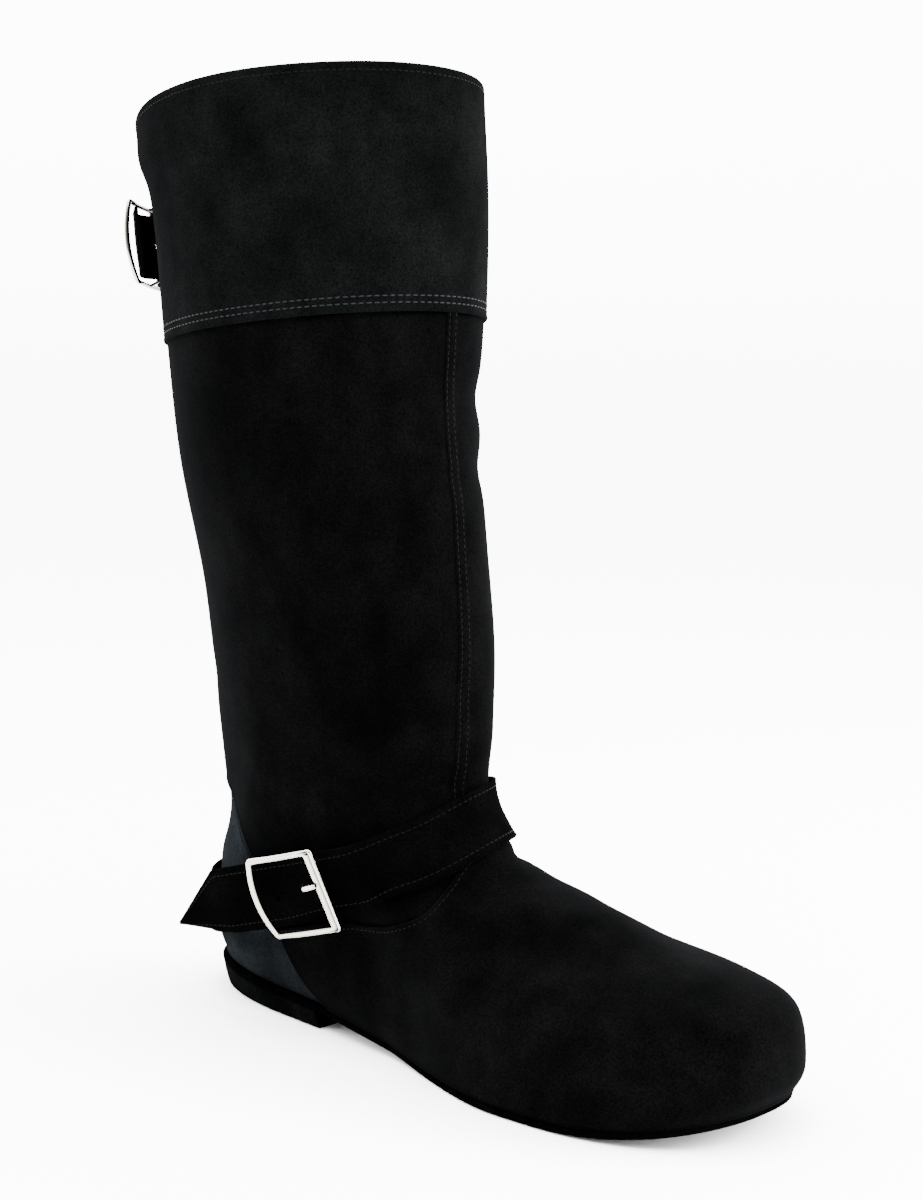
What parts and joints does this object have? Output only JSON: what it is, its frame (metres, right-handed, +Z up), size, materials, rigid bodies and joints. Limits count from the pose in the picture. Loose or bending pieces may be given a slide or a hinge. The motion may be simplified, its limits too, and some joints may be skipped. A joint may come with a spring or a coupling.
{
  "type": "dance boot",
  "caption": "Tall suede dance boot for the right foot on a thin flexible sole with a low heel, fastened by buckled straps at ankle and cuff, open at the collar.",
  "frame": {"origin": "centre of the bounding box in plan, on the floor under heel and forefoot", "axes": "+X to the toe, +Y to the inner side of the right foot, +Z up the shaft"},
  "size_m": [0.3122, 0.1182, 0.3691],
  "materials": {
    "black_suede": "napped black suede",
    "blue_black_suede": "napped blue-black suede",
    "sole_suede": "rough suede sole",
    "insole_leather": "plain leather",
    "polished_nickel": "polished"
  },
  "bodies": {
    "root": {"outsole": "sole_suede", "heel": "sole_suede", "insole": "insole_leather", "upper": "black_suede", "vamp": "black_suede", "counter": "blue_black_suede", "cuff": "blue_black_suede", "ankle_strap": "black_suede", "ankle_buckle": "polished_nickel", "ankle_prong": "polished_nickel", "cuff_strap": "black_suede", "cuff_buckle": "polished_nickel", "cuff_prong": "polished_nickel"}
  },
  "joints": []
}
